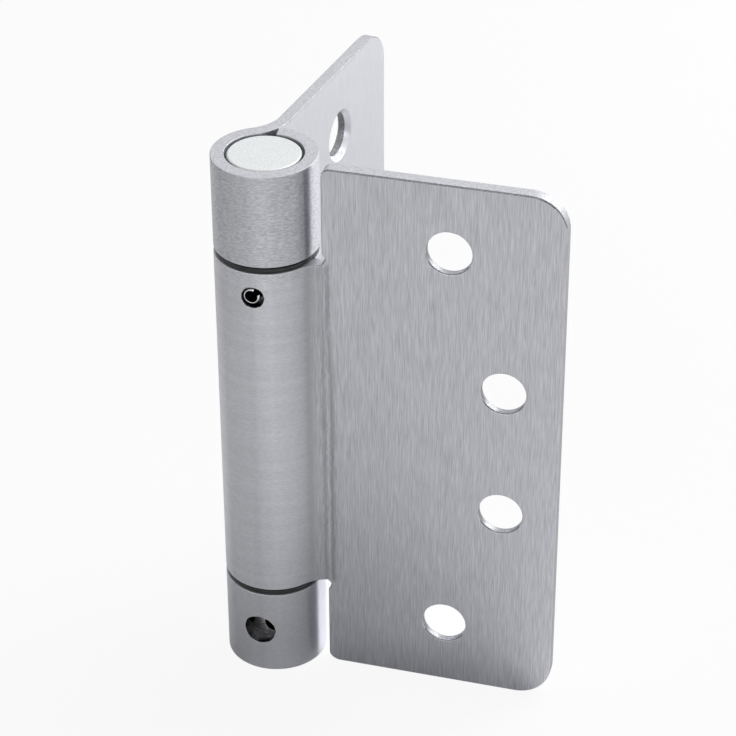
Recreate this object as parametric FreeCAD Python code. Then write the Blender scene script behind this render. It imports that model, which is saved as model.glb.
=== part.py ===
import FreeCAD, Part
import math
import os

# A spring loaded door hinge, modelled half open and standing on its bottom edges.
# Lengths are millimetres and angles are degrees.
# The knuckles turn about Z, and z = 0 is the bottom edge of both leaves.
# The frame leaf lies along +Y. The door leaf lies OPENING degrees clockwise from it, seen from above.

# Leaves, both cut and rolled from one gauge of sheet
HINGE_HEIGHT = 101.6
LEAF_WIDTH = 51.8  # from the turning axis to the free edge
SHEET = 2.3
BARREL_RADIUS = 9.0
CLOSED_GAP = 1.6  # between the inner faces of the leaves when the hinge is shut
SWAGE_RADIUS = 6.5  # hollow side of the reverse bend between barrel and plate
SEAM_GAP = 0.15  # between the cut end of the curl and the sheet that it closes on
OPENING = 82.1
END_KNUCKLE = 16.9  # height of each of the frame leaf's two knuckles
KNUCKLE_GAP = 1.2
SETBACK_CLEARANCE = 1.55  # between a barrel and the edge of the other leaf's plate
LOWER_SETBACK_EXTRA = 0.3  # the door leaf's lower notch is cut this much deeper
FREE_CORNER_RADIUS = 6.35
UPPER_SETBACK_CORNER_RADIUS = 1.4
LOWER_SETBACK_CORNER_RADIUS = 1.9
RELIEF_RADIUS = 1.1  # round relief punched at the root of each knuckle
RELIEF_BITE = 0.5  # how far that relief reaches into the plate

# Screw holes, the same in both leaves, sunk from the inner face
HOLE_RADIUS = 3.9
SINK_RADIUS = 4.75
SINK_DEPTH = 0.95
OUTER_HOLES_FROM_EDGE = 19.6  # the pair nearest the leaf's ends, from its free edge
OUTER_HOLES_FROM_END = 12.7
INNER_HOLES_FROM_EDGE = 9.9  # the pair nearest the leaf's middle
INNER_HOLES_PITCH = 24.8

# Bushes and thrust washers
BUSH_WALL = 0.4
RUNNING_CLEARANCE = 0.05
BUSH_SEAT_CLEARANCE = 0.02
BUSH_END_INSET = 1.2  # from the outer end of a knuckle to the end of its bush
BUSH_INNER_INSET = 0.2
WASHER_THICKNESS = 0.8
WASHER_EDGE_INSET = 0.35  # the washers are this much smaller in radius than the barrel
WASHER_BORE_CLEARANCE = 0.1

# Anchor plug, fast in the centre knuckle
PLUG_RECESS = 0.15  # below the top of the barrel
JOURNAL_CHAMFER = 0.2
SHOULDER_CLEARANCE = 0.08  # radial, between the shoulders and the centre knuckle's bore
SHOULDER_END_PLAY = 0.1
PLUG_SHOULDER_LENGTH = 18.0
PILOT_CLEARANCE = 0.6  # radial, between a pilot and the spring that it centres
PILOT_LENGTH = 6.0
PILOT_CHAMFER = 0.5

# Slotted spring pin through the centre knuckle and the anchor plug
PIN_RADIUS = 1.5
PIN_WALL = 0.38
PIN_SLOT_ANGLE = 50.0
PIN_SLOT_TURN = 43.0  # where the slot faces, above the leaf's direction
PIN_CHAMFER = 0.25
PIN_END_INSET = 0.35  # below the barrel's surface
PIN_SEAT_CLEARANCE = 0.02
PIN_DEPTH_IN_KNUCKLE = 4.65  # from the centre knuckle's top edge to the pin
PIN_HOLE_RADIUS = 1.9
PIN_HOLE_BEARING = -89.0  # from the door leaf's direction
PIN_LEAN = -2.2  # the pin lies against one side of its hole

# Tension spindle, turned in the bottom knuckle
SPINDLE_RECESS = 0.4  # above the bottom of the barrel
SPINDLE_SHOULDER_LENGTH = 17.0
ADJUST_HOLE_RADIUS = 2.8
ADJUST_HOLE_HEIGHT = 8.8
ADJUST_HOLE_BEARING = -175.4  # from the frame leaf's direction
CROSS_HOLES = 6
CROSS_HOLE_RADIUS = 2.1
CROSS_HOLE_DEPTH = 2.0
CROSS_HOLE_TURN = 20.0  # from the adjusting hole to a cross hole while the spring is slack
KEY_SIDES = 6
KEY_ACROSS_FLATS = 6.35
KEY_DEPTH = 5.8

# Centre rod, pressed into the anchor plug and riveted over under the spindle
ROD_RADIUS = 1.5
ROD_GRIP = 9.5  # length held in the anchor plug and its pilot
ROD_SEAT_CLEARANCE = 0.02
ROD_HEAD_RADIUS = 2.4
ROD_HEAD_HEIGHT = 0.9
ROD_HEAD_CHAMFER = 0.4
ROD_WASHER_RADIUS = 2.9
ROD_WASHER_THICKNESS = 0.6
ROD_END_PLAY = 0.05

# Torsion spring of flat wire, wound left-handed so that tension closes its coils
WIRE_WIDTH = 1.6  # across the coil
WIRE_HEIGHT = 2.2  # along the hinge's axis
SPRING_SIDE_CLEARANCE = 1.1  # radial, between the spring and the knuckle's bore
SPRING_END_CLEARANCE = 0.1
COIL_GAP = 1.0  # the least gap between neighbouring coils
SPRING_BEARING = 40.0  # where both ends of the spring stand, from the door leaf's direction
TANG_BEND_RADIUS = 1.3
TANG_LENGTH = 4.0
TANG_CLEARANCE = 0.1

# Places that follow from the sizes above
BORE_RADIUS = BARREL_RADIUS - SHEET
PLATE_SETBACK = BARREL_RADIUS + SETBACK_CLEARANCE
INNER_FACE = CLOSED_GAP / 2
OUTER_FACE = INNER_FACE + SHEET
SWAGE_REACH = BARREL_RADIUS + SWAGE_RADIUS
SWAGE_Y = -(OUTER_FACE + SWAGE_RADIUS)
SWAGE_X = math.sqrt(SWAGE_REACH**2 - SWAGE_Y**2)
SWAGE_BEARING = math.degrees(math.atan2(SWAGE_Y, SWAGE_X))
LOWER_KNUCKLE_TOP = END_KNUCKLE
UPPER_KNUCKLE_BOTTOM = HINGE_HEIGHT - END_KNUCKLE
CENTRE_BOTTOM = LOWER_KNUCKLE_TOP + KNUCKLE_GAP
CENTRE_TOP = UPPER_KNUCKLE_BOTTOM - KNUCKLE_GAP
MARGIN = 1.0  # cutting tools run this far past what they cut
SAME = 1e-3  # lengths closer than this count as equal
DOOR_BEARING = 90.0 - OPENING
FRAME_BEARING = 90.0
BUSH_RADIUS = BORE_RADIUS - BUSH_SEAT_CLEARANCE
BUSH_BORE = BUSH_RADIUS - BUSH_WALL
JOURNAL_RADIUS = BUSH_BORE - RUNNING_CLEARANCE
SHOULDER_RADIUS = BORE_RADIUS - SHOULDER_CLEARANCE
SPRING_MEAN_RADIUS = BORE_RADIUS - SPRING_SIDE_CLEARANCE - WIRE_WIDTH / 2
PILOT_RADIUS = SPRING_MEAN_RADIUS - WIRE_WIDTH / 2 - PILOT_CLEARANCE
PLUG_TOP = HINGE_HEIGHT - PLUG_RECESS
PLUG_SHOULDER_TOP = CENTRE_TOP - SHOULDER_END_PLAY
PLUG_SEAT = PLUG_SHOULDER_TOP - PLUG_SHOULDER_LENGTH
PLUG_BOTTOM = PLUG_SEAT - PILOT_LENGTH
SPINDLE_SHOULDER_BOTTOM = LOWER_KNUCKLE_TOP + WASHER_THICKNESS + SHOULDER_END_PLAY
SPINDLE_SEAT = SPINDLE_SHOULDER_BOTTOM + SPINDLE_SHOULDER_LENGTH
SPINDLE_TOP = SPINDLE_SEAT + PILOT_LENGTH
KEY_FLOOR = SPINDLE_RECESS + KEY_DEPTH
PIN_HEIGHT = CENTRE_TOP - PIN_DEPTH_IN_KNUCKLE
PIN_BEARING = PIN_HOLE_BEARING + PIN_LEAN
ROD_TOP = PLUG_BOTTOM + ROD_GRIP
ROD_WASHER_BOTTOM = KEY_FLOOR - ROD_END_PLAY - ROD_WASHER_THICKNESS
COIL_BOTTOM = SPINDLE_SEAT + SPRING_END_CLEARANCE + WIRE_HEIGHT / 2
COIL_TOP = PLUG_SEAT - SPRING_END_CLEARANCE - WIRE_HEIGHT / 2
SPRING_TURNS = math.floor((COIL_TOP - COIL_BOTTOM) / (WIRE_HEIGHT + COIL_GAP))
SPRING_PITCH = (COIL_TOP - COIL_BOTTOM) / SPRING_TURNS

ORIGIN = FreeCAD.Vector(0, 0, 0)
X_AXIS = FreeCAD.Vector(1, 0, 0)
Y_AXIS = FreeCAD.Vector(0, 1, 0)
Z_AXIS = FreeCAD.Vector(0, 0, 1)


def polar(radius, bearing, z=0.0):
    """A point at a radius and bearing about Z."""
    turn = math.radians(bearing)
    return FreeCAD.Vector(radius * math.cos(turn), radius * math.sin(turn), z)


def arc(centre, radius, start, end):
    """An arc in the XY plane, from one bearing to another."""
    points = [centre + polar(radius, bearing) for bearing in (start, (start + end) / 2, end)]
    return Part.Arc(*points).toShape()


def line(start, end):
    return Part.LineSegment(start, end).toShape()


def turned(shape, bearing):
    """A copy turned about the hinge's axis."""
    copy = shape.copy()
    copy.rotate(ORIGIN, Z_AXIS, bearing)
    return copy


def revolved(outline):
    """A solid of revolution about Z, from points given as radius and height."""
    points = [FreeCAD.Vector(radius, 0, z) for radius, z in outline]
    face = Part.Face(Part.makePolygon(points + points[:1]))
    return face.revolve(ORIGIN, Z_AXIS, 360)


def ring(inner, outer, bottom, top):
    return revolved([(inner, bottom), (outer, bottom), (outer, top), (inner, top)])


def radial_cylinder(radius, start, end, bearing, z):
    """A cylinder that lies along a radius of the hinge's axis."""
    direction = polar(1, bearing)
    return Part.makeCylinder(radius, end - start, polar(start, bearing, z), direction)


def sheet_section():
    """The rolled sheet's section, with the plate along +X and its outer face towards -Y."""
    swage = FreeCAD.Vector(SWAGE_X, SWAGE_Y, 0)
    facing_axis = SWAGE_BEARING + 180
    hollow_radius = SWAGE_RADIUS + SHEET
    reach = hollow_radius + SEAM_GAP
    cosine = (BARREL_RADIUS**2 + SWAGE_REACH**2 - reach**2) / (2 * BARREL_RADIUS * SWAGE_REACH)
    curl_end = SWAGE_BEARING + math.degrees(math.acos(cosine)) - 360
    outer_tangent = FreeCAD.Vector(SWAGE_X, -OUTER_FACE, 0)
    outer_corner = FreeCAD.Vector(LEAF_WIDTH, -OUTER_FACE, 0)
    inner_corner = FreeCAD.Vector(LEAF_WIDTH, -INNER_FACE, 0)
    inner_tangent = FreeCAD.Vector(SWAGE_X, -INNER_FACE, 0)
    edges = [
        arc(swage, SWAGE_RADIUS, facing_axis, 90),
        line(outer_tangent, outer_corner),
        line(outer_corner, inner_corner),
        line(inner_corner, inner_tangent),
        arc(swage, hollow_radius, 90, facing_axis),
        arc(ORIGIN, BORE_RADIUS, SWAGE_BEARING, curl_end),
        line(polar(BORE_RADIUS, curl_end), polar(BARREL_RADIUS, curl_end)),
        arc(ORIGIN, BARREL_RADIUS, curl_end, SWAGE_BEARING),
    ]
    return Part.Face(Part.Wire(edges))


def knuckle_clearance(bottom, top, relief_heights, setback=PLATE_SETBACK):
    """What is cut from a leaf to let the other leaf's knuckle in, with reliefs at its roots."""
    depth = 2 * (BARREL_RADIUS + MARGIN)
    corner = FreeCAD.Vector(-depth / 2, -depth / 2, bottom)
    tool = Part.makeBox(depth / 2 + setback, depth, top - bottom, corner)
    relief_x = setback - RELIEF_RADIUS + RELIEF_BITE
    for height in relief_heights:
        start = FreeCAD.Vector(relief_x, -depth / 2, height)
        tool = tool.fuse(Part.makeCylinder(RELIEF_RADIUS, depth, start, Y_AXIS))
    return tool


def screw_hole_places():
    """Distance from the axis and height of each screw hole."""
    outer = LEAF_WIDTH - OUTER_HOLES_FROM_EDGE
    inner = LEAF_WIDTH - INNER_HOLES_FROM_EDGE
    return [
        (outer, OUTER_HOLES_FROM_END),
        (inner, (HINGE_HEIGHT - INNER_HOLES_PITCH) / 2),
        (inner, (HINGE_HEIGHT + INNER_HOLES_PITCH) / 2),
        (outer, HINGE_HEIGHT - OUTER_HOLES_FROM_END),
    ]


def screw_hole(reach, height):
    """A hole through the plate, with the cone that takes the screw's head."""
    start = FreeCAD.Vector(reach, -OUTER_FACE - MARGIN, height)
    drill = Part.makeCylinder(HOLE_RADIUS, SHEET + 2 * MARGIN, start, Y_AXIS)
    sink_start = FreeCAD.Vector(reach, -INNER_FACE - SINK_DEPTH, height)
    sink = Part.makeCone(HOLE_RADIUS, SINK_RADIUS, SINK_DEPTH, sink_start, Y_AXIS)
    return drill.fuse(sink)


def corner_edges(shape, x, heights):
    """The short edges across the sheet at a given distance from the axis and given heights."""
    found = []
    for edge in shape.Edges:
        box = edge.BoundBox
        across = box.YLength > SHEET - SAME and max(box.XLength, box.ZLength) < SAME
        at_height = min(abs(box.ZMin - z) for z in heights) < SAME
        if across and at_height and abs(box.XMin - x) < SAME:
            found.append(edge)
    return found


def leaf_blank(clearances, setback_corners):
    """A rolled leaf with its knuckles cut out, corners rounded and holes drilled."""
    leaf = sheet_section().extrude(Z_AXIS * HINGE_HEIGHT)
    for tool in clearances:
        leaf = leaf.cut(tool)
    ends = (0, HINGE_HEIGHT)
    leaf = leaf.makeFillet(FREE_CORNER_RADIUS, corner_edges(leaf, LEAF_WIDTH, ends))
    for setback, height, radius in setback_corners:
        leaf = leaf.makeFillet(radius, corner_edges(leaf, setback, [height]))
    for reach, height in screw_hole_places():
        leaf = leaf.cut(screw_hole(reach, height))
    return leaf


def door_leaf():
    """The leaf with the long centre knuckle, bored across for the anchor pin."""
    deeper = PLATE_SETBACK + LOWER_SETBACK_EXTRA
    lower = knuckle_clearance(-MARGIN, CENTRE_BOTTOM, [CENTRE_BOTTOM - RELIEF_RADIUS], deeper)
    upper = knuckle_clearance(CENTRE_TOP, HINGE_HEIGHT + MARGIN, [CENTRE_TOP + RELIEF_RADIUS])
    corners = [
        (deeper, 0, LOWER_SETBACK_CORNER_RADIUS),
        (PLATE_SETBACK, HINGE_HEIGHT, UPPER_SETBACK_CORNER_RADIUS),
    ]
    leaf = leaf_blank([lower, upper], corners)
    reach = BARREL_RADIUS + MARGIN
    leaf = leaf.cut(radial_cylinder(PIN_HOLE_RADIUS, -reach, reach, PIN_HOLE_BEARING, PIN_HEIGHT))
    return turned(leaf, DOOR_BEARING)


def frame_leaf():
    """The leaf with the two end knuckles, the lower one drilled for adjusting the tension."""
    roots = [LOWER_KNUCKLE_TOP + RELIEF_RADIUS, UPPER_KNUCKLE_BOTTOM - RELIEF_RADIUS]
    middle = knuckle_clearance(LOWER_KNUCKLE_TOP, UPPER_KNUCKLE_BOTTOM, roots)
    leaf = leaf_blank([middle], ()).mirror(ORIGIN, Y_AXIS)
    leaf = leaf.cut(
        radial_cylinder(
            ADJUST_HOLE_RADIUS,
            BORE_RADIUS / 2,
            BARREL_RADIUS + MARGIN,
            ADJUST_HOLE_BEARING,
            ADJUST_HOLE_HEIGHT,
        )
    )
    return turned(leaf, FRAME_BEARING)


def bush(bottom, top):
    """A thin sleeve that lines an end knuckle."""
    return ring(BUSH_BORE, BUSH_RADIUS, bottom, top)


def upper_bush():
    return bush(UPPER_KNUCKLE_BOTTOM + BUSH_INNER_INSET, HINGE_HEIGHT - BUSH_END_INSET)


def lower_bush():
    """The lower sleeve, with a window behind the adjusting hole."""
    sleeve = bush(BUSH_END_INSET, LOWER_KNUCKLE_TOP - BUSH_INNER_INSET)
    window = radial_cylinder(
        ADJUST_HOLE_RADIUS,
        BORE_RADIUS / 2,
        BARREL_RADIUS,
        FRAME_BEARING + ADJUST_HOLE_BEARING,
        ADJUST_HOLE_HEIGHT,
    )
    return sleeve.cut(window)


def thrust_washer(bottom):
    inner = JOURNAL_RADIUS + WASHER_BORE_CLEARANCE
    return ring(inner, BARREL_RADIUS - WASHER_EDGE_INSET, bottom, bottom + WASHER_THICKNESS)


def wire_corners(z):
    """The corners of the flat wire's upright section at a height of its middle."""
    inner = SPRING_MEAN_RADIUS - WIRE_WIDTH / 2
    outer = SPRING_MEAN_RADIUS + WIRE_WIDTH / 2
    low = z - WIRE_HEIGHT / 2
    high = z + WIRE_HEIGHT / 2
    places = [(inner, low), (outer, low), (outer, high), (inner, high)]
    return [FreeCAD.Vector(x, 0, height) for x, height in places]


def wire_face(z):
    corners = wire_corners(z)
    return Part.Face(Part.makePolygon(corners + corners[:1]))


def tang(coil_end, away):
    """A spring end bent from the coil to lie along the hinge's axis."""
    section = wire_face(coil_end)
    centre = Z_AXIS * (coil_end + away * TANG_BEND_RADIUS)
    bend = section.revolve(centre, X_AXIS, 90)
    section.rotate(centre, X_AXIS, 90)
    leg = section.extrude(Z_AXIS * away * TANG_LENGTH)
    return [bend, leg]


def spring_placed(shape):
    """Turns what was made as a right-handed spring into the left-handed one at its bearing."""
    return turned(shape.mirror(ORIGIN, Y_AXIS), DOOR_BEARING + SPRING_BEARING)


def coil_turn(bottom):
    """The four ruled faces of one turn, each between the helices of two of the wire's corners."""
    helices = []
    for corner in wire_corners(bottom):
        helix = Part.makeHelix(SPRING_PITCH, SPRING_PITCH, corner.x)
        helix.translate(Z_AXIS * corner.z)
        helices.append(helix.Edges[0])
    pairs = zip(helices, helices[1:] + helices[:1])
    return [Part.makeRuledSurface(first, second) for first, second in pairs]


def coils():
    """The wire's helical stretch, with an end face where each tang begins."""
    faces = [wire_face(COIL_BOTTOM), wire_face(COIL_TOP)]
    for n in range(SPRING_TURNS):
        faces += coil_turn(COIL_BOTTOM + n * SPRING_PITCH)
    shell = Part.makeShell(faces)
    shell.sewShape()
    return Part.makeSolid(shell)


def torsion_spring():
    """Coils of flat wire between the two seats, with a tang at each end."""
    return spring_placed(coils().fuse(tang(COIL_BOTTOM, -1) + tang(COIL_TOP, 1)))


def tang_pocket(seat, coil_end, away):
    """The slot in a spindle's seat that takes a spring end and its bend."""
    width = WIRE_WIDTH + 2 * TANG_CLEARANCE
    length = TANG_BEND_RADIUS + WIRE_HEIGHT / 2 + 2 * TANG_CLEARANCE
    floor = coil_end + away * (TANG_BEND_RADIUS + TANG_LENGTH + TANG_CLEARANCE)
    bottom, top = sorted((floor, seat - away * MARGIN))
    side = -TANG_CLEARANCE if away > 0 else TANG_CLEARANCE - length
    corner = FreeCAD.Vector(SPRING_MEAN_RADIUS - width / 2, side, bottom)
    return spring_placed(Part.makeBox(width, length, top - bottom, corner))


def pilot_bore(bottom, top, radius):
    return Part.makeCylinder(radius, top - bottom, Z_AXIS * bottom)


def anchor_plug():
    """The upper spindle: journal, shoulder, spring seat and pilot, cross-bored for its pin."""
    outline = [
        (0, PLUG_BOTTOM),
        (PILOT_RADIUS - PILOT_CHAMFER, PLUG_BOTTOM),
        (PILOT_RADIUS, PLUG_BOTTOM + PILOT_CHAMFER),
        (PILOT_RADIUS, PLUG_SEAT),
        (SHOULDER_RADIUS, PLUG_SEAT),
        (SHOULDER_RADIUS, PLUG_SHOULDER_TOP),
        (JOURNAL_RADIUS, PLUG_SHOULDER_TOP),
        (JOURNAL_RADIUS, PLUG_TOP - JOURNAL_CHAMFER),
        (JOURNAL_RADIUS - JOURNAL_CHAMFER, PLUG_TOP),
        (0, PLUG_TOP),
    ]
    plug = revolved(outline)
    bore = ROD_RADIUS + ROD_SEAT_CLEARANCE
    plug = plug.cut(pilot_bore(PLUG_BOTTOM - MARGIN, ROD_TOP + ROD_SEAT_CLEARANCE, bore))
    reach = BARREL_RADIUS
    cross = radial_cylinder(
        PIN_RADIUS + PIN_SEAT_CLEARANCE, -reach, reach, DOOR_BEARING + PIN_BEARING, PIN_HEIGHT
    )
    return plug.cut(cross).cut(tang_pocket(PLUG_SEAT, COIL_TOP, 1))


def anchor_pin():
    """A rolled spring pin with chamfered ends and an open slot along it."""
    half = BARREL_RADIUS - PIN_END_INSET
    inner = PIN_RADIUS - PIN_WALL
    outline = [
        (inner, -half),
        (PIN_RADIUS - PIN_CHAMFER, -half),
        (PIN_RADIUS, -half + PIN_CHAMFER),
        (PIN_RADIUS, half - PIN_CHAMFER),
        (PIN_RADIUS - PIN_CHAMFER, half),
        (inner, half),
    ]
    tube = revolved(outline)
    half_slot = PIN_SLOT_ANGLE / 2
    reach = 2 * PIN_RADIUS
    corners = [ORIGIN, polar(reach, -half_slot), polar(reach, half_slot)]
    wedge = Part.Face(Part.makePolygon(corners + corners[:1]))
    wedge.translate(Z_AXIS * (-half - MARGIN))
    pin = tube.cut(wedge.extrude(Z_AXIS * 2 * (half + MARGIN)))
    # Turned so that its slot faces PIN_SLOT_TURN, then laid along -Y and swung to its bearing
    pin.rotate(ORIGIN, Z_AXIS, PIN_SLOT_TURN)
    pin.rotate(ORIGIN, X_AXIS, 90)
    pin.rotate(ORIGIN, Z_AXIS, DOOR_BEARING + PIN_BEARING + 90)
    pin.translate(Z_AXIS * PIN_HEIGHT)
    return pin


def key_socket():
    """The hexagonal socket in the spindle's lower end."""
    step = 360 / KEY_SIDES
    corner_radius = KEY_ACROSS_FLATS / 2 / math.cos(math.radians(step / 2))
    corners = [polar(corner_radius, n * step, SPINDLE_RECESS - MARGIN) for n in range(KEY_SIDES)]
    face = Part.Face(Part.makePolygon(corners + corners[:1]))
    return face.extrude(Z_AXIS * (KEY_DEPTH + MARGIN))


def tension_spindle():
    """The lower spindle, with a key socket, a ring of blind holes and the spring's lower seat."""
    outline = [
        (0, SPINDLE_RECESS),
        (JOURNAL_RADIUS - JOURNAL_CHAMFER, SPINDLE_RECESS),
        (JOURNAL_RADIUS, SPINDLE_RECESS + JOURNAL_CHAMFER),
        (JOURNAL_RADIUS, SPINDLE_SHOULDER_BOTTOM),
        (SHOULDER_RADIUS, SPINDLE_SHOULDER_BOTTOM),
        (SHOULDER_RADIUS, SPINDLE_SEAT),
        (PILOT_RADIUS, SPINDLE_SEAT),
        (PILOT_RADIUS, SPINDLE_TOP - PILOT_CHAMFER),
        (PILOT_RADIUS - PILOT_CHAMFER, SPINDLE_TOP),
        (0, SPINDLE_TOP),
    ]
    spindle = revolved(outline)
    bore = ROD_RADIUS + RUNNING_CLEARANCE
    spindle = spindle.cut(pilot_bore(SPINDLE_RECESS, SPINDLE_TOP + MARGIN, bore))
    spindle = spindle.cut(key_socket())
    floor = JOURNAL_RADIUS - CROSS_HOLE_DEPTH
    reach = JOURNAL_RADIUS + MARGIN
    first = FRAME_BEARING + ADJUST_HOLE_BEARING + CROSS_HOLE_TURN
    for n in range(CROSS_HOLES):
        bearing = first + n * 360 / CROSS_HOLES
        hole = radial_cylinder(CROSS_HOLE_RADIUS, floor, reach, bearing, ADJUST_HOLE_HEIGHT)
        spindle = spindle.cut(hole)
    return spindle.cut(tang_pocket(SPINDLE_SEAT, COIL_BOTTOM, -1))


def centre_rod():
    """A plain rod with a low riveted head formed over its washer."""
    head_top = ROD_WASHER_BOTTOM
    head_bottom = head_top - ROD_HEAD_HEIGHT
    outline = [
        (0, head_bottom),
        (ROD_HEAD_RADIUS - ROD_HEAD_CHAMFER, head_bottom),
        (ROD_HEAD_RADIUS, head_bottom + ROD_HEAD_CHAMFER),
        (ROD_HEAD_RADIUS, head_top),
        (ROD_RADIUS, head_top),
        (ROD_RADIUS, ROD_TOP),
        (0, ROD_TOP),
    ]
    return revolved(outline)


def rod_washer():
    bore = ROD_RADIUS + RUNNING_CLEARANCE
    top = ROD_WASHER_BOTTOM + ROD_WASHER_THICKNESS
    return ring(bore, ROD_WASHER_RADIUS, ROD_WASHER_BOTTOM, top)


def main():
    parts = {
        "frame_leaf": frame_leaf(),
        "door_leaf": door_leaf(),
        "upper_bush": upper_bush(),
        "lower_bush": lower_bush(),
        "upper_thrust_washer": thrust_washer(CENTRE_TOP),
        "lower_thrust_washer": thrust_washer(LOWER_KNUCKLE_TOP),
        "anchor_plug": anchor_plug(),
        "anchor_pin": anchor_pin(),
        "torsion_spring": torsion_spring(),
        "tension_spindle": tension_spindle(),
        "centre_rod": centre_rod(),
        "rod_washer": rod_washer(),
    }
    os.makedirs("parts", exist_ok=True)
    for name, shape in parts.items():
        print(name, len(shape.Solids), round(shape.Volume, 1), shape.isValid())
        shape.exportStep(os.path.join("parts", name + ".step"))


main()
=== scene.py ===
import math
from collections import namedtuple

import bpy
from bpy.props import FloatProperty, FloatVectorProperty, PointerProperty
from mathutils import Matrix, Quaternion, Vector


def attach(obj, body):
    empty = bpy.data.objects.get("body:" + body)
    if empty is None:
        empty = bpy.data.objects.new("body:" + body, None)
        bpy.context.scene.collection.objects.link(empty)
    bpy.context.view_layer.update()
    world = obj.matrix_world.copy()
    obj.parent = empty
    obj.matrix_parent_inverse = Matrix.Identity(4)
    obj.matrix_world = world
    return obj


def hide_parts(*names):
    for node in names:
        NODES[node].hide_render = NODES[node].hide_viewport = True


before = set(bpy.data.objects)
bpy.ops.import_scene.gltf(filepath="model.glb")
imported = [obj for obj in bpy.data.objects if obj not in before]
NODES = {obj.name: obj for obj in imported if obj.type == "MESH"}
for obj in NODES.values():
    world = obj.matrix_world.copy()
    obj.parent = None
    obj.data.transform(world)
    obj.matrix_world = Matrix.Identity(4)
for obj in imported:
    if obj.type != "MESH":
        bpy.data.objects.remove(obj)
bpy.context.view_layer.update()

bl_info = {
    "name": "Spring Door Hinge",
    "version": (1, 0, 0),
    "blender": (4, 5, 0),
    "location": "3D View > Sidebar > Hinge",
    "description": "Dresses a half open spring loaded door hinge and stands it in a pale studio",
    "category": "Object",
}

MM = 0.001
UP = Vector((0, 0, 1))
BARREL_RADIUS = 9 * MM
# How close points are welded, and how much two faces may turn and be taken for one, be left
# unrounded, and be shaded smooth
WELD = 0.002 * MM
FLAT, BLUNT, SMOOTH = math.radians(0.5), math.radians(33), math.radians(40)

# What tells the two leaves apart. Bearings are in degrees from +X towards +Y: the plate runs
# along one, the face that is screwed down looks outward by another, and the hole in the barrel
# is drilled from a third. Its height and radius are in millimetres. The contrast scales the
# brushed finish. The two tones are painted light and shade: the plate tone lightens the frame
# leaf's plate, and the barrel tone darkens the painted bands across the frame leaf's barrel. A
# marked bend keeps the lines of the forming tool.
Leaf = namedtuple(
    "Leaf",
    "node body along outward hole_bearing hole_height hole_radius "
    "plate_contrast plate_tone barrel_tone marked_bend",
)
DOOR_LEAF = Leaf(
    node="door_leaf",
    body="door",
    along=7.9,
    outward=-82.1,
    hole_bearing=-81.1,
    hole_height=78.85,
    hole_radius=1.9,
    plate_contrast=1.0,
    plate_tone=1.0,
    barrel_tone=1.0,
    marked_bend=True,
)
FRAME_LEAF = Leaf(
    node="frame_leaf",
    body="frame",
    along=90.0,
    outward=180.0,
    hole_bearing=-85.4,
    hole_height=8.8,
    hole_radius=2.8,
    plate_contrast=0.25,
    plate_tone=1.06,
    barrel_tone=0.86,
    marked_bend=False,
)

# The order of the finishes on a leaf's mesh. The last two are painted shade, in the drilled hole
# and on rounded edges.
BRUSHED, SHEARED, PUNCHED, HOLE_SHADE, EDGE_SHADE = range(5)


def toward(bearing, elevation=0.0):
    """The direction at a bearing from +X towards +Y and an elevation, both in degrees."""
    bearing, elevation = math.radians(bearing), math.radians(elevation)
    level = math.cos(elevation)
    return Vector((level * math.cos(bearing), level * math.sin(bearing), math.sin(elevation)))


# Colours and settings


def linear(hex_colour):
    """An sRGB hex colour as linear RGBA."""
    channels = [int(hex_colour[n : n + 2], 16) / 255 for n in (1, 3, 5)]
    curved = [c / 12.92 if c <= 0.04045 else ((c + 0.055) / 1.055) ** 2.4 for c in channels]
    return (*curved, 1.0)


def colour(name, description, hex_colour):
    return FloatVectorProperty(
        name=name,
        description=description,
        subtype="COLOR",
        size=4,
        min=0.0,
        max=1.0,
        default=linear(hex_colour),
    )


def length(name, description, millimetres):
    return FloatProperty(
        name=name, description=description, unit="LENGTH", default=millimetres * MM, min=0.0
    )


def strength(name, description, value):
    return FloatProperty(name=name, description=description, default=value, min=0.0)


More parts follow.
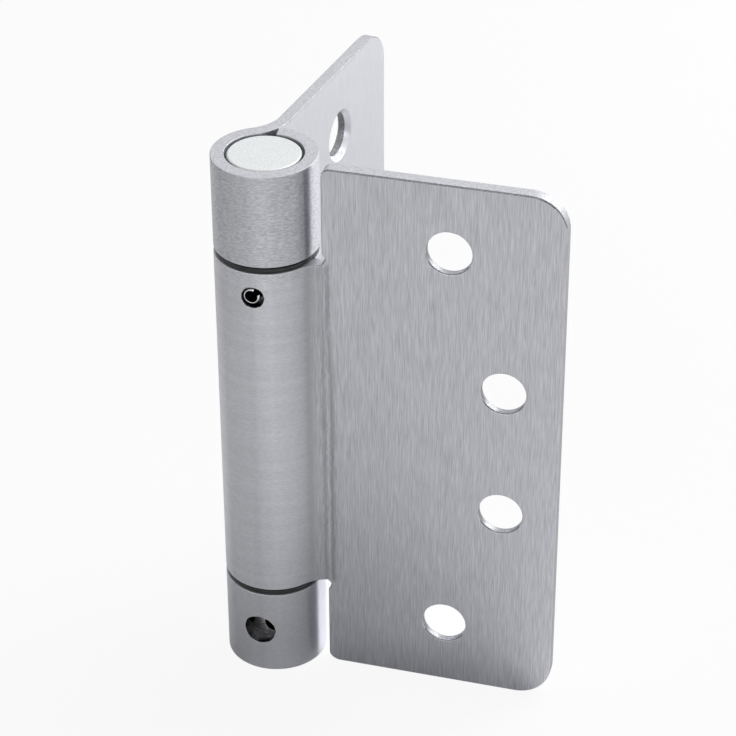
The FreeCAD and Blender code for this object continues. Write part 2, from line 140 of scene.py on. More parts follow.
class HingeFinish(bpy.types.PropertyGroup):
    """Edge roundings, grain sizes and colours of the hinge's own pieces"""

    rolled_edge: length("Rolled edge radius", "Edge that the press drew in round each plate", 0.32)
    sheet_edge: length("Sheet edge radius", "Rounding of the other cut edges", 0.13)
    turned_edge: length("Turned edge radius", "Rounding of the turned pieces' corners", 0.08)
    grain_width: length("Grain width", "Spacing of the brushed scratches, as fine as shows", 0.12)
    plate_grain: length("Plate grain length", "Length of the scratches up the plates", 3.6)
    barrel_grain: length("Barrel grain length", "Length of the scratches round the barrel", 0.8)
    nickel_dark: colour("Nickel, dark", "Satin nickel in the bottom of its grain", "#C6C7CC")
    nickel_light: colour("Nickel, light", "Satin nickel on the ridges of its grain", "#E7E8EE")
    edge_dark: colour("Edge, dark", "Nickel in the drag marks of a cut edge", "#9A9B9F")
    edge_light: colour("Edge, light", "Nickel on a cut edge", "#B8B9BE")
    # Painted shade for the rounded edges that face up or toward the barrel
    edge_shade_dark: colour("Edge shade, dark", "Painted shade on rounded edges, dark", "#57585B")
    edge_shade_light: colour("Edge shade, light", "Painted shade on rounded edges", "#898A8E")
    wall_dark: colour("Hole wall, dark", "Torn steel in the wall of a punched hole", "#6E6F73")
    wall_light: colour("Hole wall, light", "Steel in the wall of a punched hole", "#A6A7AB")
    # Painted shade for hole walls and the pin's and spindle's hidden faces, nearly black
    hole_shade_dark: colour("Hole shade, dark", "Painted shade on a hole's wall, dark", "#1C1C1E")
    hole_shade_light: colour("Hole shade, light", "Painted shade on a hole's wall", "#4A4A4D")
    zinc_dark: colour("Zinc, dark", "Matte zinc of the plug in its pits", "#B8BABB")
    zinc_light: colour("Zinc, light", "Matte zinc of the plug", "#CBCDCE")
    pin_dark: colour("Pin, dark", "Rolled pin steel in its grit", "#F2F2F3")
    pin_light: colour("Pin, light", "Rolled pin steel", "#FFFFFF")
    spindle_dark: colour("Spindle, dark", "Machined spindle steel under oil", "#D0D0D2")
    spindle_light: colour("Spindle, light", "Machined spindle steel", "#FAFAFB")
    washer_dark: colour("Washer, dark", "Acetal of the thrust washers under grease", "#191A1B")
    washer_light: colour("Washer, light", "Acetal of the thrust washers", "#3D3E3E")
    bush_dark: colour("Bush, dark", "Acetal of the bushes under grease", "#0E0F11")
    bush_light: colour("Bush, light", "Acetal of the bushes", "#1E1F22")
    spring_dark: colour("Spring, dark", "Oil tempered spring steel in its scale", "#1E1F22")
    spring_light: colour("Spring, light", "Oil tempered spring steel", "#44464B")
    rod_dark: colour("Rod, dark", "Drawn rod steel in its die lines", "#A2A4A7")
    rod_light: colour("Rod, light", "Drawn rod steel", "#C4C6C8")


class HingeStudio(bpy.types.PropertyGroup):
    """Camera, floor and lights"""

    camera_place: FloatVectorProperty(
        name="Camera place",
        description="Where the camera stands",
        subtype="TRANSLATION",
        default=(0.171032, -0.348128, 0.308439),
    )
    camera_target: FloatVectorProperty(
        name="Camera target",
        description="The point in the middle of the picture",
        subtype="TRANSLATION",
        default=(0.017404, 0.002279, 0.062471),
    )
    camera_roll: FloatProperty(
        name="Camera roll",
        description="Turn of the camera about its own line of sight",
        subtype="ANGLE",
        default=math.radians(-0.299),
    )
    lens: FloatProperty(
        name="Lens",
        description="Focal length on a 36 mm sensor",
        subtype="DISTANCE_CAMERA",
        default=130.42,
    )
    floor_size: length("Floor size", "Side of the square floor", 6000)
    key: strength("Key light", "Radiance of the soft box high up behind on the right", 3.2)
    back: strength("Back light", "Radiance of the low, near soft box behind on the right", 3.4)
    left: strength("Left light", "Radiance of the near soft box behind on the left", 0.5)
    front: strength("Front light", "Radiance of the low, near soft box in front", 1.8)
    room: strength("Room light", "Radiance of the room round the soft boxes", 0.05)
    floor_white: strength("Floor white", "Share of the floor that the camera sees as white", 0.9)
    floor_glow: strength("Floor glow", "Share of the floor that metal sees as white", 0.02)


# Nodes and meshes


def connect(node, links):
    """Gives a node's sockets, by name or number, a value, a socket or another node's output.

    Of sockets with one name, and of another node's outputs, the first that is in use is taken.
    """
    for name, value in links.items():
        in_use = [socket for socket in node.inputs if socket.enabled and socket.name == name]
        socket = in_use[0] if in_use else node.inputs[name]
        if isinstance(value, bpy.types.Node):
            value = next(output for output in value.outputs if output.enabled)
        if isinstance(value, bpy.types.NodeSocket):
            node.id_data.links.new(value, socket)
        else:
            socket.default_value = value


def add_node(tree, kind, links=None, **settings):
    """Adds a node whose attributes are the settings and connects it."""
    node = tree.nodes.new(kind)
    for name, value in settings.items():
        setattr(node, name, value)
    connect(node, links or {})
    return node


def new_material(name, **constants):
    """A Principled material with constants on its sockets, and its Object coordinates."""
    material = bpy.data.materials.new(name)
    material.use_nodes = True
    tree = material.node_tree
    tree.nodes.clear()
    constants = {key.capitalize(): value for key, value in constants.items()}
    surface = add_node(tree, "ShaderNodeBsdfPrincipled", constants)
    add_node(tree, "ShaderNodeOutputMaterial", {"Surface": surface})
    place = add_node(tree, "ShaderNodeTexCoord").outputs["Object"]
    return material, tree, surface, place


def pattern(tree, place, size, detail):
    """Noise from 0 to 1, with cells of a given size in metres along X, Y and Z."""
    cells = Vector([1 / length for length in size])
    place = add_node(tree, "ShaderNodeVectorMath", {0: place, 1: cells}, operation="MULTIPLY")
    return add_node(
        tree,
        "ShaderNodeTexNoise",
        {"Vector": place, "Scale": 1.0, "Detail": detail, "Roughness": 0.6},
    )


def tone_curve(tree, value, stops):
    """A grey tone that follows a length in metres, by stops of millimetres and tone."""
    first, last = stops[0][0], stops[-1][0]
    place = add_node(
        tree,
        "ShaderNodeMapRange",
        {"Value": value, "From Min": first * MM, "From Max": last * MM},
    )
    ramp = add_node(tree, "ShaderNodeValToRGB", {0: place})
    elements = ramp.color_ramp.elements
    for millimetres, _ in stops[1:-1]:
        elements.new((millimetres - first) / (last - first))
    for element, (_, tone) in zip(elements, stops):
        element.color = (tone, tone, tone, 1)
    return ramp


def finish_surface(tree, surface, grain, colours, roughness, relief):
    """Lets a grain vary a surface's colour, its roughness and, by a depth in metres, its relief."""
    # The noise's values lie nearly all between these two
    depth = add_node(
        tree, "ShaderNodeMapRange", {"Value": grain, "From Min": 0.33, "From Max": 0.67}
    )
    dark, light = colours
    colour = add_node(
        tree, "ShaderNodeMix", {"Factor": depth, "A": dark, "B": light}, data_type="RGBA"
    )
    low, high = roughness
    rough = add_node(tree, "ShaderNodeMix", {"Factor": depth, "A": low, "B": high})
    bump = add_node(tree, "ShaderNodeBump", {"Height": grain, "Strength": 1.0, "Distance": relief})
    connect(surface, {"Base Color": colour, "Roughness": rough, "Normal": bump})
    return colour, bump


def paint(obj, *materials):
    obj.data.materials.clear()
    for material in materials:
        obj.data.materials.append(material)


def rounded_copy(node, name, radius, share_of_radius=None):
    """A welded copy of a CAD node with its sharp edges rounded, which stands for the node.

    The last function, given an edge's middle, says what share of the radius that edge takes.
    """
    piece = bpy.data.objects.new(name, NODES[node].data.copy())
    bpy.context.scene.collection.objects.link(piece)
    bpy.ops.object.select_all(action="DESELECT")
    piece.select_set(True)
    bpy.context.view_layer.objects.active = piece
    bpy.ops.mesh.customdata_custom_splitnormals_clear()
    bpy.ops.object.mode_set(mode="EDIT")
    bpy.ops.mesh.select_all(action="SELECT")
    bpy.ops.mesh.remove_doubles(threshold=WELD)
    bpy.ops.mesh.dissolve_limited(angle_limit=FLAT)
    bpy.ops.mesh.select_mode(type="EDGE")
    bpy.ops.mesh.select_all(action="DESELECT")
    bpy.ops.mesh.edges_select_sharp(sharpness=BLUNT)
    bpy.ops.object.mode_set(mode="OBJECT")
    mesh = piece.data
    weights = mesh.attributes.new("bevel_weight_edge", "FLOAT", "EDGE")
    for edge in mesh.edges:
        middle = sum((mesh.vertices[n].co for n in edge.vertices), Vector()) / 2
        share = share_of_radius(middle) if share_of_radius else 1.0
        weights.data[edge.index].value = share if edge.select else 0.0
    bpy.ops.object.modifier_add(type="BEVEL")
    bevel = piece.modifiers[-1]
    bevel.width = radius
    bevel.segments = 3
    bevel.limit_method = "WEIGHT"
    bevel.use_clamp_overlap = False
    bevel.miter_outer = "MITER_ARC"
    bpy.ops.object.modifier_apply(modifier=bevel.name)
    bpy.ops.object.shade_smooth_by_angle(angle=SMOOTH)
    bpy.ops.object.modifier_add(type="WEIGHTED_NORMAL")
    normals = piece.modifiers[-1]
    normals.keep_sharp = True
    bpy.ops.object.modifier_apply(modifier=normals.name)
    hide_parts(node)
    return piece


# Materials

# Painted light and shade across the barrel's front, by millimetres along X: bands of tone that
# stand for its reflections
PAINTED_BARREL_BANDS = (
    (-9, 0.88), (-6.5, 0.86), (-4.5, 0.79), (-2.2, 0.89), (-0.2, 0.96), (1.2, 0.93),
    (2.2, 0.99), (4.2, 1.0), (5.5, 0.93), (6.6, 0.84), (8.8, 0.62),
)
# What those painted tones are scaled by, and the plain tone behind, where no bands are painted
PAINTED_BAND_SCALE, PLAIN_BEHIND_TONE = 1.14, 1.05
# Painted shade up a plate from its foot, by millimetres: the floor's shadow that the plate reflects
PAINTED_FOOT_SHADE = ((0, 0.7), (3, 0.78), (6, 0.87), (9, 0.95), (13, 1.0))
# Tones across the reverse bend, by millimetres from the barrel's axis: low down, where the
# forming tool's two lines are broad, and high up, where they are thin
LOW_BEND = (
    (8.8, 1.0), (9.4, 0.8), (10.7, 0.76), (10.95, 0.6), (11.25, 0.68), (11.6, 0.95),
    (11.9, 0.78), (12.2, 0.6), (12.6, 0.82), (13.2, 0.97), (14.8, 1.0),
)
HIGH_BEND = (
    (8.8, 1.0), (9.4, 0.79), (10.95, 0.72), (11.15, 0.68), (11.35, 0.92), (11.5, 0.68),
    (12.05, 0.66), (12.25, 0.94), (12.6, 1.0), (14.8, 1.0),
)


def brushed_nickel(look, leaf):
    """Satin nickel over belt brushed steel.

    The eye sees fine scratches up the plate and round the barrel, and reflections that are
    smeared across them. The real scratches are about 0.05 mm apart, too fine to show, so they are
    drawn more than twice as coarse. They are plainest on the top knuckle.
    """
    material, tree, surface, place = new_material(
        "satin nickel, brushed " + leaf.node, metallic=1.0, anisotropic=0.5
    )
    parts = add_node(tree, "ShaderNodeSeparateXYZ", {0: place}).outputs
    level = add_node(tree, "ShaderNodeVectorMath", {0: place, 1: (1, 1, 0)}, operation="MULTIPLY")
    from_axis = add_node(tree, "ShaderNodeVectorMath", {0: level}, operation="LENGTH")
    on_barrel = add_node(
        tree,
        "ShaderNodeMapRange",
        {
            "Value": from_axis,
            "From Min": BARREL_RADIUS + 0.2 * MM,
            "From Max": BARREL_RADIUS + 1.2 * MM,
            "To Min": 1.0,
            "To Max": 0.0,
        },
    )
    wide = look.grain_width
    fine = pattern(tree, place, (wide, wide, look.plate_grain), 1.0)
    coarse = pattern(tree, place, (2 * wide, 2 * wide, 3 * look.plate_grain), 1.0)
    plate = add_node(tree, "ShaderNodeMix", {"Factor": 0.2, "A": fine, "B": coarse})
    plate = add_node(tree, "ShaderNodeMix", {"Factor": leaf.plate_contrast, "A": 0.5, "B": plate})
    barrel = pattern(tree, place, (look.barrel_grain, look.barrel_grain, 1.3 * wide), 2.0)
    # The two heights are just below and within the top knuckle
    contrast = add_node(
        tree,
        "ShaderNodeMapRange",
        {
            "Value": parts["Z"],
            "From Min": 80 * MM,
            "From Max": 86 * MM,
            "To Min": 0.45,
            "To Max": 1.5,
        },
    )
    barrel = add_node(
        tree, "ShaderNodeMix", {"Factor": contrast, "A": 0.5, "B": barrel}, clamp_factor=False
    )
    grain = add_node(tree, "ShaderNodeMix", {"Factor": on_barrel, "A": plate, "B": barrel})
    colours = (look.nickel_dark, look.nickel_light)
    colour, bump = finish_surface(tree, surface, grain, colours, (0.4, 0.3), 0.002 * MM)
    connect(bump, {"Normal": rolled_flats(tree, place, on_barrel)})
    facing = add_node(tree, "ShaderNodeNewGeometry").outputs["Normal"]
    across = add_node(tree, "ShaderNodeVectorMath", {0: facing, 1: UP}, operation="CROSS_PRODUCT")
    smear = add_node(
        tree, "ShaderNodeMix", {"Factor": on_barrel, "A": across, "B": UP}, data_type="VECTOR"
    )
    # Painted shade towards each plate's foot, painted light on the frame leaf's plate, and painted
    # light and shade in bands across the barrel
    plate_tone = painted_foot_shade(tree, parts["Z"], from_axis, leaf.plate_tone)
    barrel_tone = painted_band_tone(tree, parts, leaf.barrel_tone)
    tone = add_node(tree, "ShaderNodeMix", {"Factor": on_barrel, "A": plate_tone, "B": barrel_tone})
    colour = add_node(tree, "ShaderNodeVectorMath", {0: colour, "Scale": tone}, operation="SCALE")
    if leaf.marked_bend:
        marks = bend_marks(tree, place, parts["Z"], from_axis)
        colour = add_node(
            tree,
            "ShaderNodeMix",
            {"Factor": 1.0, "A": colour, "B": marks},
            data_type="RGBA",
            blend_type="MULTIPLY",
        )
    connect(surface, {"Base Color": colour, "Tangent": smear})
    return material


def rolled_flats(tree, place, on_barrel):
    """The faint flats that rolling leaves along the barrel, as a relief."""
    flats = pattern(tree, place, (2.2 * MM, 2.2 * MM, 90 * MM), 0.0)
    flats = add_node(tree, "ShaderNodeMath", {0: flats, 1: on_barrel}, operation="MULTIPLY")
    return add_node(
        tree, "ShaderNodeBump", {"Height": flats, "Strength": 1.0, "Distance": 0.12 * MM}
    )


def painted_foot_shade(tree, height, from_axis, plate_tone):
    """The tone of a plate, with painted shade towards its foot, over less height near its free
    edge.
    """
    spared = add_node(
        tree,
        "ShaderNodeMapRange",
        {"Value": from_axis, "From Min": 32 * MM, "From Max": 52 * MM, "To Max": 8 * MM},
    )
    foot = add_node(tree, "ShaderNodeMath", {0: height, 1: spared}, operation="ADD")
    foot = tone_curve(tree, foot, PAINTED_FOOT_SHADE)
    return add_node(tree, "ShaderNodeMath", {0: foot, 1: plate_tone}, operation="MULTIPLY")


def painted_band_tone(tree, parts, barrel_tone):
    """The tone of a barrel: painted light and shade in bands across its front, and a plain tone
    behind.
    """
    painted_bands = tone_curve(tree, parts["X"], PAINTED_BARREL_BANDS)
    painted_bands = add_node(
        tree, "ShaderNodeMath", {0: painted_bands, 1: PAINTED_BAND_SCALE * barrel_tone}, operation="MULTIPLY"
    )
    behind = add_node(
        tree,
        "ShaderNodeMapRange",
        {"Value": parts["Y"], "From Min": -2 * MM, "From Max": -1 * MM},
    )
    return add_node(tree, "ShaderNodeMix", {"Factor": behind, "A": painted_bands, "B": PLAIN_BEHIND_TONE})


def bend_marks(tree, place, height, from_axis):
    """The tone of the reverse bend beside the barrel.

    No belt reaches into it, so it stays dull, and the edges of the forming tool leave two dark
    lines along it with a rubbed one between them. The lines waver and thin towards the top.
    """
    waver = pattern(tree, place, (40 * MM, 40 * MM, 1.2 * MM), 3.0)
    waver = add_node(
        tree,
        "ShaderNodeMapRange",
        {
            "Value": waver,
            "From Min": 0.3,
            "From Max": 0.7,
            "To Min": -0.12 * MM,
            "To Max": 0.12 * MM,
        },
    )
    reach = add_node(tree, "ShaderNodeMath", {0: from_axis, 1: waver}, operation="ADD")
    low = tone_curve(tree, reach, LOW_BEND)
    high = tone_curve(tree, reach, HIGH_BEND)
    rise = add_node(
        tree, "ShaderNodeMapRange", {"Value": height, "From Min": 58 * MM, "From Max": 74 * MM}
    )
    tone = add_node(
        tree, "ShaderNodeMix", {"Factor": rise, "A": low, "B": high}, data_type="RGBA"
    )
    # The other leaf's knuckles stand beside the bend below and above this stretch
    above = add_node(
        tree, "ShaderNodeMapRange", {"Value": height, "From Min": 17.5 * MM, "From Max": 18.5 * MM}
    )
    below = add_node(
        tree,
        "ShaderNodeMapRange",
        {"Value": height, "From Min": 83 * MM, "From Max": 84 * MM, "To Min": 1.0, "To Max": 0.0},
    )
    inside = add_node(tree, "ShaderNodeMath", {0: above, 1: below}, operation="MULTIPLY")
    return add_node(
        tree, "ShaderNodeMix", {"Factor": inside, "A": (1, 1, 1, 1), "B": tone}, data_type="RGBA"
    )


def metal(name, colours, roughness, size, relief, detail=3.0):
    """A metal with an even grit or drag marks, whose size and relief are in millimetres."""
    material, tree, surface, place = new_material(name, metallic=1.0)
    grit = pattern(tree, place, [n * MM for n in size], detail)
    finish_surface(tree, surface, grit, colours, roughness, relief * MM)
    return material


def cut_steel(name, colours, roughness, relief):
    """Sheared, punched or drilled steel.

    It keeps the tool's fine drag marks, which are about 0.1 mm apart and drawn coarser, to show.
    """
    return metal(name, colours, roughness, (0.25,) * 3, relief, detail=4.0)


def acetal(name, colours):
    """Moulded acetal, a waxy plastic that grease smears darker in long streaks."""
    material, tree, surface, place = new_material(name)
    smear = pattern(tree, place, (2.5 * MM, 2.5 * MM, 0.25 * MM), 3.0)
    finish_surface(tree, surface, smear, colours, (0.3, 0.5), 0.004 * MM)
    return material


# Operators, one for each group of like pieces


class HINGE_OT_leaves(bpy.types.Operator):
    """Rounds the two rolled leaves' cut edges and gives each surface its finish"""

    bl_idname = "hinge.leaves"
    bl_label = "Leaves"

    # Along the plate from the barrel's axis: where the plate starts, where the reverse bend is
    # over, where the corner beside the barrel ends, and what is past all the screw holes
    PLATE_START, BEND_END, CORNER_END, HOLES_END = 10 * MM, 12 * MM, 13 * MM, 47 * MM
    # Heights that hold all the screw holes between them, and one near the top edge
    HOLES_FOOT, HOLES_TOP, NEAR_TOP = 8 * MM, 93.6 * MM, 95 * MM
    # What is farther out than this is on the outer face, or is past the bore of the barrel
    OUTER_FACE, BORE = 3 * MM, 5 * MM

    def execute(self, context):
        look = context.scene.hinge_finish
        # Sheared edges under the nickel: pale and matte
        sheared = cut_steel(
            "satin nickel, sheared", (look.edge_dark, look.edge_light), (0.65, 0.5), 0.01
        )
        # Punched hole walls, torn below the shear: grey, with glints
        punched = cut_steel("punched steel", (look.wall_dark, look.wall_light), (0.5, 0.35), 0.02)
        # Painted shade: the drilled walls inside the barrel, nearly black
        painted_shade = cut_steel(
            "drilled steel, oiled", (look.hole_shade_dark, look.hole_shade_light), (0.35, 0.2), 0.02
        )
        # Painted shade: a thin, darker line on the outer face's rounded edges that face up or
        # toward the barrel
        painted_edge_shade = cut_steel(
            "painted shade on edges", (look.edge_shade_dark, look.edge_shade_light), (0.5, 0.35), 0.01
        )
        for leaf in (DOOR_LEAF, FRAME_LEAF):
            brushed = brushed_nickel(look, leaf)
            paint(NODES[leaf.node], brushed)
            piece = rounded_copy(
                leaf.node, leaf.node + "_sheet", look.rolled_edge, self.drawn_in_share(look, leaf)
            )
            paint(piece, brushed, sheared, punched, painted_shade, painted_edge_shade)
            self.sort_faces(piece.data, leaf)
            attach(piece, leaf.body)
        return {"FINISHED"}

    def drawn_in_share(self, look, leaf):
        """The function that says what share of the rolled edge's radius an edge takes.

        On the plate's outer face it is all of it, reached over the bend, and elsewhere the sheet
        edge's.
        """
        along, outward = toward(leaf.along), toward(leaf.outward)
        least = look.sheet_edge / look.rolled_edge
        bend_length = 3.5 * MM

        def share(middle):
            if middle.dot(outward) < self.OUTER_FACE:
                return least
            off_barrel = (middle.dot(along) - BARREL_RADIUS) / bend_length
            return least + (1 - least) * min(max(off_barrel, 0), 1)

        return share

    def sort_faces(self, mesh, leaf):
        """Gives each face a finish by its place and direction: the tool's, or painted shade in the
        drilled hole and on rounded edges that face up or toward the barrel.
        """
        along, outward = toward(leaf.along), toward(leaf.outward)
        drill = toward(leaf.hole_bearing)
        hole_centre = leaf.hole_height * MM * UP
        hole_radius = (leaf.hole_radius + 0.1) * MM
        for face in mesh.polygons:
            place, normal = face.center, face.normal
            reach = place.dot(along)
            looks_out = normal.dot(outward)
            from_hole = place - hole_centre
            outside = from_hole.dot(drill)
            in_drilled_hole = (from_hole - outside * drill).length < hole_radius
            in_screw_hole = (
                reach < self.HOLES_END and self.HOLES_FOOT < place.z < self.HOLES_TOP
            )
            beside_barrel = reach < self.CORNER_END and normal.dot(along) < -0.2
            # Painted shade deep in the drilled hole
            if in_drilled_hole and outside > self.BORE:
                face.material_index = HOLE_SHADE
            elif reach > self.BEND_END and abs(looks_out) < 0.5:
                face.material_index = PUNCHED if in_screw_hole else SHEARED
            # Painted shade: rounded edges on the outer face that face up or toward the barrel
            elif reach > self.PLATE_START and looks_out > 0.3 and (
                normal.z > 0.35 or beside_barrel
            ):
                face.material_index = EDGE_SHADE
            # Painted shade: the other rounded edges near the top that face upward take the hole
            # wall's darker grey
            elif reach > self.PLATE_START and place.z > self.NEAR_TOP and 0.2 < normal.z < 0.9:
                face.material_index = PUNCHED
            elif abs(normal.z) > 0.7:
                face.material_index = SHEARED


class HINGE_OT_turned_pieces(bpy.types.Operator):
    """Rounds the plug, pin, spindle and thrust washers and finishes them"""

    bl_idname = "hinge.turned_pieces"
    bl_label = "Plug, Pin, Spindle and Washers"

    # The spindle's ring of blind holes: the radius it lies within, its foot and its top
    RING_RADIUS, RING_FOOT, RING_TOP = 6.15 * MM, 6 * MM, 12 * MM

    def execute(self, context):
        look = context.scene.hinge_finish
        # Zinc plate over a blasted face: pale, even and nearly matte
        zinc = metal(
            "matte zinc plate", (look.zinc_dark, look.zinc_light), (0.6, 0.5), (0.3,) * 3, 0.008
        )
        # Rolled spring steel: bright, with the mill's fine grit
        rolled = metal(
            "rolled spring steel", (look.pin_dark, look.pin_light), (0.35, 0.25), (0.2,) * 3, 0.004
        )
        # Painted shade: nearly black on the pin's bore, slot and hidden sides, and in the spindle's
        # blind holes
        painted_shade = metal(
            "rolled spring steel, oiled",
            (look.hole_shade_dark, look.hole_shade_light),
            (0.5, 0.4),
            (0.2,) * 3,
            0.004,
        )
        # Machined steel with oil on it: turned rings, lit only through the adjusting hole
        machined = metal(
            "machined steel under oil",
            (look.spindle_dark, look.spindle_light),
            (0.35, 0.22),
            (1.5, 1.5, 0.2),
            0.002,
        )
        washer = acetal("grey acetal", (look.washer_dark, look.washer_light))
        bush = acetal("black acetal", (look.bush_dark, look.bush_light))
        # Each piece's node, body and slot, its material and its share of the edge radius
        pieces = (
            ("anchor_plug", "door", "plug_steel", zinc, 1.0),
            ("anchor_pin", "door", "pin_steel", rolled, 0.4),
            ("tension_spindle", "adjuster", "spindle_steel", machined, 1.0),
            ("upper_thrust_washer", "door", "bush_plastic", washer, 1.0),
            ("lower_thrust_washer", "frame", "bush_plastic", washer, 1.0),
        )
        for node, body, slot, material, share in pieces:
            paint(NODES[node], material)
            piece = rounded_copy(node, node + "_finished", share * look.turned_edge)
            paint(piece, material, painted_shade)
            for face in piece.data.polygons:
                face.material_index = int(self.takes_hole_shade(node, face))
            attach(piece, body)
        for node in ("upper_bush", "lower_bush"):
            paint(NODES[node], bush)
        return {"FINISHED"}

    def takes_hole_shade(self, node, face):
        """Whether a face takes painted shade: on the pin but not its ends, or in the spindle's
        blind holes.
        """
        if node == "anchor_pin":
            return abs(face.normal.dot(toward(DOOR_LEAF.hole_bearing))) < 0.6
        if node == "tension_spindle":
            x, y, z = face.center
            return math.hypot(x, y) < self.RING_RADIUS and self.RING_FOOT < z < self.RING_TOP
        return False


class HINGE_OT_inner_works(bpy.types.Operator):
    """Finishes the spring, the rod and its washer inside the barrel"""

    bl_idname = "hinge.inner_works"
    bl_label = "Inner Works"

    def execute(self, context):
        look = context.scene.hinge_finish
        # Oil tempered flat wire: near black, with a thin blue grey scale
        tempered = metal(
            "oil tempered steel",
            (look.spring_dark, look.spring_light),
            (0.5, 0.35),
            (2.0, 2.0, 0.3),
            0.006,
        )
        # Drawn rod: bright, with die lines along it
        drawn = metal(
            "bright drawn steel",
            (look.rod_dark, look.rod_light),
            (0.32, 0.22),
            (0.2, 0.2, 5),
            0.003,
        )
        paint(NODES["torsion_spring"], tempered)
        for node in ("centre_rod", "rod_washer"):
            paint(NODES[node], drawn)
        return {"FINISHED"}


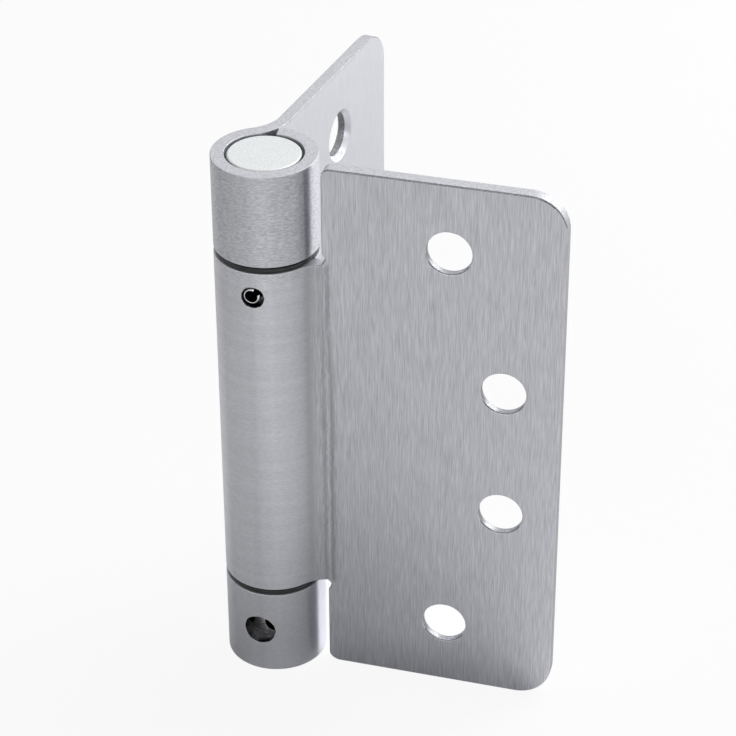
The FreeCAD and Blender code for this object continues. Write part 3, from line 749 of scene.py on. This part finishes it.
class HINGE_OT_studio(bpy.types.Operator):
    """Builds the floor, the room, the lights and the camera"""

    bl_idname = "hinge.studio"
    bl_label = "Studio"

    HINGE_MIDDLE = Vector((0.02, 0.01, 0.05))
    # Each soft box's setting, bearing, elevation, distance and side
    LIGHTS = (
        ("key", 60, 60, 1.3, 0.9),
        ("back", 60, 25, 0.5, 0.35),
        ("left", 130, 45, 0.5, 0.35),
        ("front", -80, 30, 0.5, 0.35),
    )
    CARD_PLACE = Vector((0.3, -0.66, 0.5))
    CARD_SIDE = 0.9

    def execute(self, context):
        studio = context.scene.hinge_studio
        context.scene.view_settings.view_transform = "Standard"
        self.add_floor(studio)
        self.add_room(context.scene, studio)
        for setting, bearing, elevation, distance, side in self.LIGHTS:
            place = self.HINGE_MIDDLE + distance * toward(bearing, elevation)
            self.add_light(setting + " light", place, side, getattr(studio, setting))
        self.add_card()
        self.add_camera(context.scene, studio)
        return {"FINISHED"}

    def add_light(self, name, place, side, radiance):
        """A square soft box aimed at the hinge's middle."""
        bpy.ops.object.light_add(type="AREA", location=place)
        light = bpy.context.object
        light.name = name
        light.rotation_euler = (self.HINGE_MIDDLE - place).to_track_quat("-Z", "Y").to_euler()
        light.visible_camera = False
        light.data.shape = "SQUARE"
        light.data.size = side
        light.data.energy = radiance * math.pi * side**2

    @staticmethod
    def add_floor(studio):
        """A pale floor, white to the camera and in metal by its shares, which keeps its shadows."""
        just_below = (0, 0, -0.01 * MM)
        bpy.ops.mesh.primitive_plane_add(size=studio.floor_size, location=just_below)
        floor = bpy.context.object
        floor.name = "studio_floor"
        material = bpy.data.materials.new("pale studio floor")
        material.use_nodes = True
        tree = material.node_tree
        tree.nodes.clear()
        path = add_node(tree, "ShaderNodeLightPath").outputs
        mirrored = add_node(
            tree,
            "ShaderNodeMath",
            {0: path["Is Glossy Ray"], 1: path["Is Transmission Ray"]},
            operation="MAXIMUM",
        )
        glow = add_node(
            tree, "ShaderNodeMath", {0: mirrored, 1: studio.floor_glow}, operation="MULTIPLY"
        )
        share = add_node(
            tree,
            "ShaderNodeMath",
            {0: path["Is Camera Ray"], 1: studio.floor_white, 2: glow},
            operation="MULTIPLY_ADD",
        )
        paper = add_node(tree, "ShaderNodeBsdfDiffuse", {"Color": linear("#F2F2F2")})
        white = add_node(tree, "ShaderNodeEmission", {"Strength": 1.0})
        both = add_node(tree, "ShaderNodeMixShader", {0: share, 1: paper, 2: white})
        add_node(tree, "ShaderNodeOutputMaterial", {"Surface": both})
        paint(floor, material)

    def add_card(self):
        """A dark card behind the camera, which only metal sees: it draws the rounded edges."""
        bpy.ops.mesh.primitive_plane_add(size=self.CARD_SIDE, location=self.CARD_PLACE)
        card = bpy.context.object
        card.name = "dark_card"
        card.rotation_euler = self.CARD_PLACE.to_track_quat("Z", "Y").to_euler()
        card.visible_camera = False
        card.visible_diffuse = False
        card.visible_shadow = False
        material = bpy.data.materials.new("dark card")
        material.use_nodes = True
        connect(material.node_tree.nodes["Principled BSDF"], {"Base Color": linear("#202020")})
        paint(card, material)

    @staticmethod
    def add_room(scene, studio):
        """A room that is white to the camera and in metal, and lights the rest by its own level."""
        world = bpy.data.worlds.new("pale room")
        scene.world = world
        world.use_nodes = True
        tree = world.node_tree
        tree.nodes.clear()
        path = add_node(tree, "ShaderNodeLightPath").outputs
        seen = path["Is Camera Ray"]
        for ray in ("Is Glossy Ray", "Is Transmission Ray"):
            seen = add_node(tree, "ShaderNodeMath", {0: seen, 1: path[ray]}, operation="MAXIMUM")
        plain = {"Color": (1, 1, 1, 1)}
        room = add_node(tree, "ShaderNodeBackground", {**plain, "Strength": studio.room})
        white = add_node(tree, "ShaderNodeBackground", {**plain, "Strength": 1.0})
        both = add_node(tree, "ShaderNodeMixShader", {0: seen, 1: room, 2: white})
        add_node(tree, "ShaderNodeOutputWorld", {"Surface": both})

    @staticmethod
    def add_camera(scene, studio):
        place, target = Vector(studio.camera_place), Vector(studio.camera_target)
        bpy.ops.object.camera_add(location=place)
        camera = bpy.context.object
        aim = (target - place).to_track_quat("-Z", "Y")
        camera.rotation_euler = (aim @ Quaternion(UP, studio.camera_roll)).to_euler()
        camera.data.sensor_width = 36.0
        camera.data.lens = studio.lens
        scene.camera = camera


class HINGE_PT_panel(bpy.types.Panel):
    """Sidebar panel with the hinge's operators and settings"""

    bl_idname = "HINGE_PT_panel"
    bl_label = "Spring Door Hinge"
    bl_space_type = "VIEW_3D"
    bl_region_type = "UI"
    bl_category = "Hinge"

    def draw(self, context):
        for operator in OPERATORS:
            self.layout.operator(operator.bl_idname)
        for settings in (context.scene.hinge_finish, context.scene.hinge_studio):
            for name in settings.__annotations__:
                self.layout.prop(settings, name)


OPERATORS = (HINGE_OT_leaves, HINGE_OT_turned_pieces, HINGE_OT_inner_works, HINGE_OT_studio)
CLASSES = (HingeFinish, HingeStudio, *OPERATORS, HINGE_PT_panel)


def register():
    for cls in CLASSES:
        bpy.utils.register_class(cls)
    bpy.types.Scene.hinge_finish = PointerProperty(type=HingeFinish)
    bpy.types.Scene.hinge_studio = PointerProperty(type=HingeStudio)


def unregister():
    del bpy.types.Scene.hinge_studio
    del bpy.types.Scene.hinge_finish
    for cls in reversed(CLASSES):
        bpy.utils.unregister_class(cls)


def main():
    register()
    bpy.ops.hinge.leaves()
    bpy.ops.hinge.turned_pieces()
    bpy.ops.hinge.inner_works()
    bpy.ops.hinge.studio()


if __name__ == "__main__":
    main()
